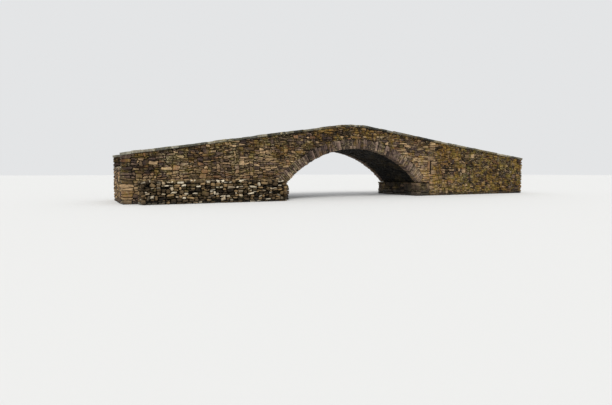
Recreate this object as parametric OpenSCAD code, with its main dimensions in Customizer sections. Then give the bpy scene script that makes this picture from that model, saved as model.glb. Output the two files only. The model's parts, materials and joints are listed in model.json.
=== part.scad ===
// Packhorse bridge: one rubble masonry arch between ramped walls, with a parapet and coping on each
// side of the road. X runs along the bridge, Y across it and Z up. The origin is at the middle of the
// whole outline on the plane that the bridge stands on.

/* [Arch] */
// Clear width of the arch between its springings
span = 9400; // [8000:50:10500]
// Height of the springings above the foot of the bridge
spring_h = 850; // [500:10:1400]
// Rise of the arch above its springings
rise = 2070; // [1700:10:2600]
// Depth of the arch stones, from the underside to the back of the arch
ring_depth = 560; // [400:10:650]
// Masonry and fill between the back of the arch and the road, at the crest
cover = 160; // [130:5:400]

/* [Walls] */
// Width of the bridge over the outer faces of its walls
width = 4200; // [3200:50:5500]
// Thickness of the side walls and of the parapets on them
wall_t = 430; // [300:10:600]
// Distance from each springing to the upright joint between the arch walls and the wing walls
seat_l = 900; // [750:10:1800]
// Distance from each springing to the back of its abutment
abutment_l = 2200; // [1900:50:4000]
// How far the plinths stand out under the springings
plinth_step = 180; // [50:5:300]

/* [Ramps] */
// Distance from mid-span to the end of the left ramp
left_end = 13200; // [12500:100:16000]
// Distance from mid-span to the end of the right ramp
right_end = 14400; // [11000:100:18000]
// Fall of the left ramp, in percent
left_fall = 15.2; // [8:0.1:17]
// Fall of the right ramp, in percent
right_fall = 12.8; // [8:0.1:15]
// Radius of the rounded crest between the ramps
crest_r = 9250; // [5000:50:14000]
// Where the crest stands, measured from mid-span
crest_x = -150; // [-400:10:400]
// Thickness of the road surface
road_t = 100; // [60:5:120]

/* [Parapets] */
// Height of the coping's top above the road
parapet_h = 690; // [500:10:1000]
// Thickness of the coping stones
coping_t = 125; // [80:5:200]
// How far the coping stands out over each face of the parapet
coping_over = 45; // [0:5:90]

/* [River wall] */
// Distance from the bridge's front face to the face of the river wall
river_off = 900; // [700:10:1600]
// Height of the river wall
river_h = 1150; // [800:10:1400]
// Thickness of the river wall's stones
river_t = 450; // [250:10:550]
// Distance from mid-span to the far end of the river wall
river_end = 12500; // [8000:100:12700]
// How far the near end of the river wall stands back from the left springing
river_set = 300; // [0:10:600]
// How far the packed rubble behind the river wall lies below its top
backing_drop = 60; // [20:5:200]

/* [Hidden] */

// The two ends of the bridge, as the sign of X
LEFT = -1;
RIGHT = 1;
// The middle third of the arch
CROWN = 0;
// The two faces of the bridge, as the sign of Y
FRONT = -1;
BACK = 1;

half_span = span / 2;
half_width = width / 2;
// Half the clear width between the side walls
inner = half_width - wall_t;

// The arch is one circle: its inner radius, outer radius and the height of its centre
arch_r = (half_span * half_span + rise * rise) / (2 * rise);
arch_back_r = arch_r + ring_depth;
arch_z = spring_h + rise - arch_r;
// Angle from upright to a springing, seen from the centre of the arch
spring_angle = asin(half_span / arch_r);
// Outer corner of the sloping bed that the arch's feet stand on
skew_x = arch_back_r * sin(spring_angle);
skew_z = arch_z + arch_back_r * cos(spring_angle);

// Top of the coping at the crest, and the angles of the two ramps
crest_z = spring_h + rise + ring_depth + cover + parapet_h;
left_angle = atan(left_fall / 100);
right_angle = atan(right_fall / 100);
// Where the rounded crest runs into each ramp
crest_left_x = crest_x - crest_r * sin(left_angle);
crest_right_x = crest_x + crest_r * sin(right_angle);
// Number of straight lengths, about one coping stone each, in the rounded crest
crest_steps = 10;

// Distances from mid-span: a plinth's face towards the river, an upright joint, an abutment's back
plinth_x = half_span - plinth_step;
joint_x = half_span + seat_l;
abutment_x = half_span + abutment_l;
// Distance from mid-span to the near end of the river wall
river_x = half_span + river_set;

// Middle of the whole outline
mid_x = (right_end - left_end) / 2;
mid_y = (half_width + coping_over - (half_width + river_off)) / 2;

function end_x(side) = side == LEFT ? left_end : right_end;
function fall(side) = tan(side == LEFT ? left_angle : right_angle);
function ramp_top_x(side) = side == LEFT ? crest_left_x : crest_right_x;
function ramp_top_z(side) = crest_z - crest_r * (1 - cos(side == LEFT ? left_angle : right_angle));

// Height of the coping's top on a ramp, at x
function ramp_z(side, x) = ramp_top_z(side) - fall(side) * abs(x - ramp_top_x(side));

// Points along the rounded crest from left to right, lowered by drop
function crest_line(drop) = [
    for (i = [0 : crest_steps])
        let (a = -left_angle + (left_angle + right_angle) * i / crest_steps)
        [crest_x + crest_r * sin(a), crest_z - crest_r * (1 - cos(a)) - drop]
];

// Points along one ramp from its foot to its top, lowered by drop
function ramp_line(side, drop) = [
    [side * end_x(side), ramp_z(side, side * end_x(side)) - drop],
    [ramp_top_x(side), ramp_top_z(side) - drop]
];

function reversed(list) = [for (i = [len(list) - 1 : -1 : 0]) list[i]];

// Moves the bridge from mid-span to the middle of its outline
module in_frame() {
    translate([-mid_x, -mid_y, 0]) children();
}

// Extrudes a drawing in X and Z across the bridge, from y0 to y1
module across(y0, y1) {
    translate([0, y1, 0]) rotate([90, 0, 0]) linear_extrude(y1 - y0) children();
}

// Extrudes a drawing in X and Z through one side wall
module through_wall(face, over = 0) {
    if (face == FRONT) across(-half_width - over, -inner + over) children();
    else across(inner - over, half_width + over) children();
}

// Extrudes a drawing in X and Z between the side walls
module between_walls() {
    across(-inner, inner) children();
}

// Round outline with the arch's centre, in X and Z
module arch_circle(r) {
    translate([0, arch_z]) circle(r = r, $fn = 720);
}

// One third of the arch in X and Z: the left haunch, the crown or the right haunch
module arch_third(third) {
    reach = 2 * arch_back_r;
    // Angles from upright of its two radial ends
    start = (2 * third - 1) * spring_angle / 3;
    end = (2 * third + 1) * spring_angle / 3;
    intersection() {
        difference() {
            arch_circle(arch_back_r);
            arch_circle(arch_r);
        }
        polygon([
            [0, arch_z],
            [reach * sin(start), arch_z + reach * cos(start)],
            [reach * sin(end), arch_z + reach * cos(end)]
        ]);
    }
}

module plinth(side) {
    color("#5c5345") in_frame() across(-half_width, half_width) polygon([
        [side * joint_x, 0], [side * plinth_x, 0],
        [side * plinth_x, spring_h], [side * joint_x, spring_h]
    ]);
}

// The block that takes the thrust: full width under the arch's foot, and between the wing walls behind
module abutment(side) {
    color("#6b5f4e") in_frame() {
        across(-half_width, half_width) polygon([
            [side * joint_x, spring_h], [side * half_span, spring_h],
            [side * skew_x, skew_z], [side * joint_x, skew_z]
        ]);
        between_walls() polygon([
            [side * abutment_x, 0], [side * joint_x, 0],
            [side * joint_x, spring_h], [side * half_span, spring_h],
            [side * skew_x, skew_z], [side * abutment_x, skew_z]
        ]);
    }
}

module arch_ring(face, third) {
    color("#5a4c44") in_frame() through_wall(face) arch_third(third);
}

module arch_barrel(third) {
    color("#3b342b") in_frame() between_walls() arch_third(third);
}

// Everything over the back of the arch between the upright joints, up to a depth below the coping's top
module over_arch(drop) {
    difference() {
        polygon(concat(
            [[joint_x, skew_z], [-joint_x, skew_z], [-joint_x, ramp_z(LEFT, -joint_x) - drop]],
            crest_line(drop),
            [[joint_x, ramp_z(RIGHT, joint_x) - drop]]
        ));
        arch_circle(arch_back_r);
    }
}

// Wall over one half of the arch, from the upright joint to mid-span, up to the road
module spandrel_wall(face, side) {
    color("#6a5a43") in_frame() through_wall(face) intersection() {
        over_arch(parapet_h);
        translate([side == LEFT ? -joint_x : 0, 0]) square([joint_x, crest_z]);
    }
}

// Wall beside one ramp, from its end to the upright joint, up to the road
module wing_wall(face, side) {
    far = side * end_x(side);
    near = side * joint_x;
    color("#6f5f45") in_frame() through_wall(face) polygon([
        [far, 0], [near, 0],
        [near, ramp_z(side, near) - parapet_h], [far, ramp_z(side, far) - parapet_h]
    ]);
}

// Packed rubble between the wing walls, on and behind the abutment
module ramp_fill(side) {
    drop = parapet_h + road_t;
    far = side * end_x(side);
    near = side * joint_x;
    color("#75684f") in_frame() between_walls() polygon([
        [far, 0], [side * abutment_x, 0], [side * abutment_x, skew_z], [near, skew_z],
        [near, ramp_z(side, near) - drop], [far, ramp_z(side, far) - drop]
    ]);
}

// Packed rubble over the arch, between the spandrel walls
module arch_fill() {
    color("#75684f") in_frame() between_walls() over_arch(parapet_h + road_t);
}

// A layer that follows one ramp, between two depths below the coping's top
module ramp_layer(side, top_drop, foot_drop) {
    polygon(concat(ramp_line(side, top_drop), reversed(ramp_line(side, foot_drop))));
}

// A layer that follows the rounded crest, between two depths below the coping's top
module crest_layer(top_drop, foot_drop) {
    polygon(concat(crest_line(top_drop), reversed(crest_line(foot_drop))));
}

module ramp_roadway(side) {
    color("#7d7157") in_frame() between_walls() ramp_layer(side, parapet_h, parapet_h + road_t);
}

module crest_roadway() {
    color("#7d7157") in_frame() between_walls() crest_layer(parapet_h, parapet_h + road_t);
}

module ramp_parapet(face, side) {
    color("#705f47") in_frame() through_wall(face) ramp_layer(side, coping_t, parapet_h);
}

module crest_parapet(face) {
    color("#705f47") in_frame() through_wall(face) crest_layer(coping_t, parapet_h);
}

module ramp_coping(face, side) {
    color("#8a826b") in_frame() through_wall(face, coping_over) ramp_layer(side, 0, coping_t);
}

module crest_coping(face) {
    color("#8a826b") in_frame() through_wall(face, coping_over) crest_layer(0, coping_t);
}

// Low dry-stone wall along the bank, with a return at each end back to the bridge
module river_wall() {
    face_y = half_width + river_off;
    color("#5e5545") in_frame() difference() {
        translate([-river_end, -face_y, 0]) cube([river_end - river_x, river_off, river_h]);
        translate([river_t - river_end, river_t - face_y, -river_h])
            cube([river_end - river_x - 2 * river_t, river_off, 3 * river_h]);
    }
}

// Packed rubble between the river wall and the bridge
module river_wall_backing() {
    back_y = half_width + river_off - river_t;
    color("#6d6350") in_frame() translate([river_t - river_end, -back_y, 0])
        cube([river_end - river_x - 2 * river_t, river_off - river_t, river_h - backing_drop]);
}

plinth(LEFT);  // left_plinth
plinth(RIGHT);  // right_plinth
abutment(LEFT);  // left_abutment
abutment(RIGHT);  // right_abutment
arch_ring(FRONT, LEFT);  // front_left_arch_ring
arch_ring(FRONT, CROWN);  // front_crown_arch_ring
arch_ring(FRONT, RIGHT);  // front_right_arch_ring
arch_barrel(LEFT);  // left_arch_barrel
arch_barrel(CROWN);  // crown_arch_barrel
arch_barrel(RIGHT);  // right_arch_barrel
arch_ring(BACK, LEFT);  // back_left_arch_ring
arch_ring(BACK, CROWN);  // back_crown_arch_ring
arch_ring(BACK, RIGHT);  // back_right_arch_ring
spandrel_wall(FRONT, LEFT);  // front_left_spandrel_wall
spandrel_wall(FRONT, RIGHT);  // front_right_spandrel_wall
spandrel_wall(BACK, LEFT);  // back_left_spandrel_wall
spandrel_wall(BACK, RIGHT);  // back_right_spandrel_wall
wing_wall(FRONT, LEFT);  // front_left_wing_wall
wing_wall(FRONT, RIGHT);  // front_right_wing_wall
wing_wall(BACK, LEFT);  // back_left_wing_wall
wing_wall(BACK, RIGHT);  // back_right_wing_wall
ramp_fill(LEFT);  // left_ramp_fill
arch_fill();
ramp_fill(RIGHT);  // right_ramp_fill
ramp_roadway(LEFT);  // left_roadway
crest_roadway();
ramp_roadway(RIGHT);  // right_roadway
ramp_parapet(FRONT, LEFT);  // front_left_parapet
crest_parapet(FRONT);  // front_crest_parapet
ramp_parapet(FRONT, RIGHT);  // front_right_parapet
ramp_parapet(BACK, LEFT);  // back_left_parapet
crest_parapet(BACK);  // back_crest_parapet
ramp_parapet(BACK, RIGHT);  // back_right_parapet
ramp_coping(FRONT, LEFT);  // front_left_coping
crest_coping(FRONT);  // front_crest_coping
ramp_coping(FRONT, RIGHT);  // front_right_coping
ramp_coping(BACK, LEFT);  // back_left_coping
crest_coping(BACK);  // back_crest_coping
ramp_coping(BACK, RIGHT);  // back_right_coping
river_wall();
river_wall_backing();
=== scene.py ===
"""Dresses a packhorse bridge: laid stones, lichen and damp over its plain masonry, stage and camera."""

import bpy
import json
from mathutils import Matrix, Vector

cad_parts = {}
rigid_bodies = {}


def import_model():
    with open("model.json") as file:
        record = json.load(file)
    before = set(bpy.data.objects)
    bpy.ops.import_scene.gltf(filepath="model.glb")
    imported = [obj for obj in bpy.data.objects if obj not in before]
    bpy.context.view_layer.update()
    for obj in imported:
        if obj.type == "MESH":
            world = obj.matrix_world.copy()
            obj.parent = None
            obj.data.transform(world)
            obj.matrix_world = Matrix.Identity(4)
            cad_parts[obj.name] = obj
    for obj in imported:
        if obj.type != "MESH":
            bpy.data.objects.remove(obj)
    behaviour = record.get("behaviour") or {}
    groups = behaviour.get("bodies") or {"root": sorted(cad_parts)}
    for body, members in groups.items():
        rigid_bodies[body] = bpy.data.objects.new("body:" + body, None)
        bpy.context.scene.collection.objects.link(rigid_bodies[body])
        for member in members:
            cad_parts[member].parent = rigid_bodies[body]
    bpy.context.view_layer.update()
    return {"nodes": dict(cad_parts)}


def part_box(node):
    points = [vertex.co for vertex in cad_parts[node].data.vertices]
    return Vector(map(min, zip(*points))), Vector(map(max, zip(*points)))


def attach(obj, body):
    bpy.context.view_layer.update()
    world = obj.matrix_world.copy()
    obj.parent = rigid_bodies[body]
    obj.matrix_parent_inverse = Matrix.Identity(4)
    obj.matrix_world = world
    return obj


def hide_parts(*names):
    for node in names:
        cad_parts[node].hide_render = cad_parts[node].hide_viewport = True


bl_info = {
    "name": "Packhorse Bridge Masonry",
    "version": (1, 0, 0),
    "blender": (4, 5, 0),
    "location": "3D View > Sidebar > Bridge",
    "description": "Lays the stones of a single-arch rubble bridge over its plain pieces",
    "category": "Object",
}

import json
import math
import random

import bmesh
import bpy
from bpy.props import FloatProperty, FloatVectorProperty, PointerProperty
from mathutils import Vector, noise

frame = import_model()

# How far behind the stones' faces the joints are filled
JOINT_DEPTH = 0.06
# How deep a wall stone reaches into its wall
STONE_DEPTH = 0.16
# Points nearer than this are one point
NEAR = 1e-4


class Measures:
    """The bridge's own lines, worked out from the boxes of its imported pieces."""

    def __init__(self):
        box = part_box
        plinth_low, plinth_high = box("right_plinth")
        seat_low, seat_high = box("right_abutment")
        barrel_low, barrel_high = box("crown_arch_barrel")
        self.mid_x = (box("left_plinth")[1][0] + plinth_low[0]) / 2
        self.mid_y = (barrel_low[1] + barrel_high[1]) / 2
        self.front = box("front_crown_arch_ring")[0][1]
        self.back = box("back_crown_arch_ring")[1][1]
        self.front_inner = barrel_low[1]
        self.back_inner = barrel_high[1]
        self.spring_z = plinth_high[2]
        self.plinth_x = plinth_low[0] - self.mid_x
        self.joint_x = plinth_high[0] - self.mid_x
        self.left_end = self.mid_x - box("left_ramp_fill")[0][0]
        self.right_end = box("right_ramp_fill")[1][0] - self.mid_x

        half_span = seat_low[0] - self.mid_x
        self.skew_z = seat_high[2]
        self.skew_x = box("right_arch_barrel")[1][0] - self.mid_x
        self.ring_depth = math.hypot(self.skew_x - half_span, self.skew_z - self.spring_z)
        self.spring_angle = math.atan2(self.skew_x - half_span, self.skew_z - self.spring_z)
        self.arch_r = half_span / math.sin(self.spring_angle)
        self.back_r = self.arch_r + self.ring_depth
        self.arch_z = self.spring_z - self.arch_r * math.cos(self.spring_angle)

        coping_low, coping_high = box("front_left_coping")
        parapet_low, parapet_high = box("front_left_parapet")
        right_low, right_high = box("front_right_coping")
        self.coping_t = coping_high[2] - parapet_high[2]
        self.coping_over = self.front - coping_low[1]
        self.parapet_h = coping_low[2] + self.coping_t - parapet_low[2]
        self.crest_left = coping_high[0] - self.mid_x
        self.crest_right = right_low[0] - self.mid_x
        self.left_fall = (coping_high[2] - coping_low[2] - self.coping_t) / (coping_high[0] - coping_low[0])
        self.right_fall = (right_high[2] - right_low[2] - self.coping_t) / (right_high[0] - right_low[0])
        left_angle, right_angle = math.atan(self.left_fall), math.atan(self.right_fall)
        self.crest_r = (self.crest_right - self.crest_left) / (math.sin(left_angle) + math.sin(right_angle))
        self.crest_x = self.crest_left + self.crest_r * math.sin(left_angle)
        self.crest_z = coping_high[2] + self.crest_r * (1 - math.cos(left_angle))

    def crest(self, u):
        """Height of the rounded crest's line at u."""
        return self.crest_z - self.crest_r + math.sqrt(self.crest_r**2 - (u - self.crest_x) ** 2)

    def top(self, u):
        """Height of the coping's top, u along the bridge from mid-span."""
        if u < self.crest_left:
            return self.crest(self.crest_left) - self.left_fall * (self.crest_left - u)
        if u > self.crest_right:
            return self.crest(self.crest_right) - self.right_fall * (u - self.crest_right)
        return self.crest(u)

    def slope(self, u):
        """Rise of the coping over a length of one, at u."""
        reach = 0.01
        return (self.top(u + reach) - self.top(u - reach)) / (2 * reach)

    def part(self, u):
        """The part of the road that u lies on."""
        return "left" if u < self.crest_left else "right" if u > self.crest_right else "crest"

    def road_parts(self):
        """Each part of the road, with its start and its end."""
        return (("left", -self.left_end, self.crest_left), ("crest", self.crest_left, self.crest_right),
                ("right", self.crest_right, self.right_end))

    def third(self):
        """A third of the arch's underside along its curve."""
        return self.spring_angle * self.arch_r / 3

    def arch_part(self, along):
        """The third of the arch that a place on its curve lies on."""
        return "left" if along < -self.third() else "right" if along > self.third() else "crown"


M = Measures()


def srgb(red, green, blue):
    """A display colour, given in steps of 0 to 255, as the linear colour that a shader reads."""
    steps = [value / 255 for value in (red, green, blue)]
    return tuple(v / 12.92 if v <= 0.04045 else ((v + 0.055) / 1.055) ** 2.4 for v in steps)


def length_prop(name, text, value):
    return FloatProperty(name=name, description=text, default=value, min=0.0, unit="LENGTH",
                         subtype="DISTANCE")


def share_prop(name, text, value):
    return FloatProperty(name=name, description=text, default=value, min=0.0, max=1.0, subtype="FACTOR")


def colour_prop(name, text, *steps):
    return FloatVectorProperty(name=name, description=text, default=srgb(*steps), min=0.0, max=1.0,
                               size=3, subtype="COLOR")


class BridgeSizes(bpy.types.PropertyGroup):
    """Sizes of the stones and of their joints."""

    wall_length: length_prop("Wall stone length", "Usual length of a stone in the walls", 0.22)
    wall_height: length_prop("Wall stone height", "Usual height of a stone in the walls", 0.106)
    wall_joint: length_prop("Wall joint", "Width of the joints between wall stones", 0.03)
    ring_stone: length_prop("Arch stone thickness", "Usual thickness of an arch stone along the arch", 0.1)
    ring_joint: length_prop("Arch joint", "Width of the joints between arch stones", 0.026)
    coping_length: length_prop("Coping length", "Usual length of a coping slab", 0.56)
    plinth_stone: length_prop("Plinth block length", "Usual length of a block in the plinths", 0.55)
    field_stone: length_prop("River stone length", "Usual length of a stone in the river wall", 0.22)
    sett_length: length_prop("Road stone length", "Usual length of a stone in the road", 0.24)
    quoin_width: length_prop("Quoin width", "Width of the upright stone beside the open joint", 0.17)
    quoin_height: length_prop("Quoin height", "Height of that stone and of the open joint", 0.72)
    slot_width: length_prop("Open joint width", "Width of the open upright joint on the front", 0.12)
    slot_foot: length_prop("Open joint foot", "Height of its foot above the ground", 1.56)
    lintel_length: length_prop("Lintel length", "Length of the two stones over it", 0.48)
    lintel_height: length_prop("Lintel height", "Height of the two together", 0.56)
    slab_length: length_prop("Crown slab length", "Length of the thin slab over the arch's crown", 0.75)
    stone_rise: length_prop("Stone relief", "How far stones stand proud or sunk in a wall's face", 0.02)


class BridgeColours(bpy.types.PropertyGroup):
    """Colours and growths of the stones."""

    wall_dark: colour_prop("Wall, dark", "Darkest wall stones", 34, 23, 9)
    wall_light: colour_prop("Wall, light", "Palest wall stones", 157, 131, 98)
    wall_warm: colour_prop("Wall, warm", "Rust-brown wall stones", 108, 74, 50)
    wall_cool: colour_prop("Wall, cool", "Purple-brown wall stones", 78, 62, 58)
    ring_dark: colour_prop("Arch, dark", "Darkest arch stones", 38, 31, 28)
    ring_light: colour_prop("Arch, light", "Palest arch stones", 110, 92, 81)
    # Painted shade: the underside's stones are coloured nearly black to stand for the shade under the arch
    soffit_shade_dark: colour_prop("Underside in painted shade, dark", "Darkest stones under the arch", 6, 5, 3)
    soffit_shade_light: colour_prop("Underside in painted shade, light", "Palest stones under the arch", 18, 14, 10)
    coping_dark: colour_prop("Coping, dark", "Darkest coping stones", 47, 49, 44)
    coping_light: colour_prop("Coping, light", "Palest coping stones", 134, 131, 118)
    # The plinths' colours are dark: partly their own wet stone, partly painted shade under the arch's
    # springing
    plinth_damp_shade_dark: colour_prop("Plinth, damp and in painted shade, dark", "Darkest plinth blocks", 22, 18, 14)
    plinth_damp_shade_light: colour_prop("Plinth, damp and in painted shade, light", "Palest plinth blocks", 88, 72, 57)
    river_dark: colour_prop("River wall, dark", "Darkest stones of the river wall", 20, 13, 6)
    river_light: colour_prop("River wall, light", "Usual pale stones of the river wall", 144, 119, 84)
    river_cream: colour_prop("River wall, cream", "Washed stones of the river wall", 226, 214, 188)
    road_dark: colour_prop("Road, dark", "Darkest road stones", 92, 84, 72)
    road_light: colour_prop("Road, light", "Palest road stones", 150, 138, 118)
    lichen: colour_prop("Pale lichen", "Grey-cream crusts on the stones", 190, 173, 134)
    ochre: colour_prop("Ochre lichen", "Orange-brown crusts on the stones", 132, 100, 46)
    moss: colour_prop("Moss", "Moss in joints and on ledges", 116, 108, 34)
    # The joint colour is old lime and earth, darkened further as painted shade deep in the joints
    joint: colour_prop("Joints and painted shade", "Old lime and earth deep in the joints", 22, 15, 5)
    gap: colour_prop("Gaps", "Shadow between stones laid dry", 10, 8, 5)
    moss_share: share_prop("Moss share", "How much of the walls moss covers", 0.5)
    floor: colour_prop("Floor", "The stage's floor", 226, 226, 224)


# Laying stones

# The smallest stone that is laid, and the largest that has fallen out, as the area of its face
LEAST_FACE = 0.0018
LOST_FACE = 0.016
# The share of those small stones that fell out
LOST_SHARE = 0.06
# The narrowest face that a stone may show
THIN_FACE = 0.012

# A bed's length and height, where the usual is 1: the least, the most and the likeliest
BED_LENGTH = (0.45, 2.3, 0.85)
BED_HEIGHT = (0.45, 1.7, 0.85)
# The share of beds that are tall, and the height of the least tall of them
TALL_SHARE = 0.13
LEAST_TALL = 1.4
# How much larger than asked a bed at an end may be
END_SPREAD = (1.0, 1.6)
# A bed's head that is this near a neighbour's is laid level with it, if that leaves the bed so high
LEVEL_WITHIN = 0.4
LEAST_LEVEL = 0.35
# A gap at the top that is thinner than this gets no bed
THIN_BED = 0.2
# A stretch that is shorter than this gets one bed rather than two
ONE_BED = 2.4

# How beds stray from true: waves to a metre along and up, and their reach in metres along and up
BROAD_WAVES = ((0.7, 1.2), (0.06, 0.12))
FINE_WAVES = ((5.0, 8.0), (0.11, 0.08))
# How near an end beds begin to be held true
HELD_NEAR = 0.4
# How far a stone's corners are cut, where the usual is 1, and the most of a side that a cut takes
CORNER_CUTS = (0.35, 0.7, 1.0, 1.9)
MOST_CUT = 0.36
# The share of stones that have sunk back, and how far, where their usual relief is 1
SUNK_SHARE = 0.08
SUNK_BACK = (0.6, 1.8)


def clip(poly, normal, reach):
    """Keeps the part of a convex outline where normal times the point is at most reach."""
    kept = []
    for i, (u, v) in enumerate(poly):
        pu, pv = poly[i - 1]
        here = normal[0] * u + normal[1] * v - reach
        before = normal[0] * pu + normal[1] * pv - reach
        if here * before < 0:
            t = before / (before - here)
            kept.append((pu + (u - pu) * t, pv + (v - pv) * t))
        if here <= 0:
            kept.append((u, v))
    return kept


def face_area(poly):
    return sum(poly[i - 1][0] * v - u * poly[i - 1][1] for i, (u, v) in enumerate(poly)) / 2


def middle(poly):
    return (sum(p[0] for p in poly) / len(poly), sum(p[1] for p in poly) / len(poly))


def distinct(poly):
    """The outline without corners that lie on the one before."""
    return [point for i, point in enumerate(poly) if math.dist(point, poly[i - 1]) > NEAR]


def lay_beds(rng, low, high, length, height, end_length=None, tallest=2.0):
    """Fills a rectangle with flat beds of uneven sizes, each laid in the lowest gap that is left.

    low and high are its corners. end_length, where given, is the least length of a bed at either end.
    tallest is the height of the tallest beds, where height is 1. Each bed is its left end, foot, right
    end and head. sky holds the stretches that beds have reached: start, end and height."""
    shortest = BED_LENGTH[0] * length
    sky = [[low[0], high[0], low[1]]]
    beds = []
    while True:
        at = min(range(len(sky)), key=lambda i: (sky[i][2], sky[i][0]))
        start, end, foot = sky[at]
        if foot >= high[1] - THIN_BED * height:
            return beds
        is_tall = rng.random() < TALL_SHARE
        tall = height * (rng.uniform(LEAST_TALL, tallest) if is_tall else rng.triangular(*BED_HEIGHT))
        at_end = end_length and (start <= low[0] + NEAR or end >= high[0] - NEAR)
        if at_end:
            tall = max(tall, height * rng.uniform(*END_SPREAD))
        head = round(foot + tall, 4)
        for beside in sky[max(0, at - 1):at] + sky[at + 1:at + 2]:
            if abs(beside[2] - head) < LEVEL_WITHIN * height and beside[2] > foot + LEAST_LEVEL * height:
                head = beside[2]
        long = length * rng.triangular(*BED_LENGTH)
        if at_end:
            long = max(long, end_length * rng.uniform(*END_SPREAD))
        room = end - start
        # What is left of the gap is never too short for a bed
        if room - long < shortest:
            long = room if room < ONE_BED * length else room / 2
        stop = end if long == room else round(start + long, 4)
        beds.append((start, foot, stop, head))
        raised = [[start, stop, head]]
        if stop < end:
            raised.append([stop, end, foot])
        sky[at:at + 1] = raised
        sky = level_up(sky)


def level_up(sky):
    """Joins neighbouring stretches of equal height."""
    joined = [sky[0]]
    for stretch in sky[1:]:
        if stretch[2] == joined[-1][2]:
            joined[-1] = [joined[-1][0], stretch[1], stretch[2]]
        else:
            joined.append(stretch)
    return joined


def spread_out(values, gap=0.025):
    """The values in order, without those that are too near the one before."""
    kept = []
    for value in values:
        if not kept or abs(value - kept[-1]) > gap:
            kept.append(value)
    return kept


def lay_courses(rng, low, high, length, height, end_length=None, tallest=2.0):
    """Lays beds and gives each the corners of its neighbours along its sides, as closed outlines."""
    beds = lay_beds(rng, low, high, length, height, end_length, tallest)
    rows, columns = {}, {}
    for left, foot, right, head in beds:
        for u in (left, right):
            for v in (foot, head):
                rows.setdefault(v, set()).add(u)
                columns.setdefault(u, set()).add(v)
    outlines = []
    for left, foot, right, head in beds:
        feet = spread_out(sorted(u for u in rows[foot] if left <= u < right))
        rights = spread_out(sorted(v for v in columns[right] if foot <= v < head))
        heads = spread_out(sorted((u for u in rows[head] if left < u <= right), reverse=True))
        lefts = spread_out(sorted((v for v in columns[left] if foot < v <= head), reverse=True))
        outlines.append([(u, foot) for u in feet] + [(right, v) for v in rights]
                        + [(u, head) for u in heads] + [(left, v) for v in lefts])
    return outlines


def drift(u, v, seed):
    """Two smooth random numbers, from about -1 to 1, that depend on the place and the seed alone."""
    return noise.noise((u, v, seed)), noise.noise((u + 31.7, v - 18.3, seed + 7.1))


def wander(poly, seed, ends, reach=1.0):
    """Moves an outline's corners as uneven work does. Stones that share a corner move it alike.

    Near the ends, corners keep their place along the wall."""
    (broad_along, broad_up), (broad_u, broad_v) = BROAD_WAVES
    (fine_along, fine_up), (fine_u, fine_v) = FINE_WAVES
    moved = []
    for u, v in poly:
        first = drift(broad_along * u, broad_up * v, seed)
        second = drift(fine_along * u, fine_up * v, seed + 40.0)
        hold = min([1.0] + [abs(u - end) / HELD_NEAR for end in ends]) * reach
        moved.append((u + hold * (broad_u * first[0] + fine_u * second[0]),
                      v + reach * (broad_v * first[1] + fine_v * second[1])))
    return moved


def stone_outline(rng, poly, joint, corner, step):
    """The worn outline of a stone: its bed less the joint, with cut corners and uneven sides.

    corner is how far corners are cut, and step the distance between the points along a side."""
    count = len(poly)
    sides = []
    for i in range(count):
        du, dv = poly[(i + 1) % count][0] - poly[i][0], poly[(i + 1) % count][1] - poly[i][1]
        size = math.hypot(du, dv) or NEAR
        sides.append((du / size, dv / size, size))
    points = []
    for i, (u, v) in enumerate(poly):
        (au, av, before), (bu, bv, after) = sides[i - 1], sides[i]
        straight = au * bu + av * bv
        turn = max(0.35, 1 + straight)
        u, v = u - (av + bv) * joint / 2 / turn, v + (au + bu) * joint / 2 / turn
        if straight > 0.8:
            off = rng.uniform(-0.3, 0.3) * corner
            points.append((u - av * off, v + au * off))
            first = second = 0.0
        else:
            cut = rng.choice(CORNER_CUTS) * corner
            first = rng.uniform(0.6, 1.0) * min(cut, MOST_CUT * before)
            second = rng.uniform(0.6, 1.0) * min(cut, MOST_CUT * after)
            points.append((u - au * first, v - av * first))
            points.append((u + bu * second, v + bv * second))
        run = after - second - corner
        pieces = int(run / step)
        for k in range(1, pieces + 1):
            along = second + run * k / (pieces + 1)
            off = rng.uniform(-0.4, 0.4) * corner
            points.append((u + bu * along - bv * off, v + bv * along + bu * off))
    return points


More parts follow.
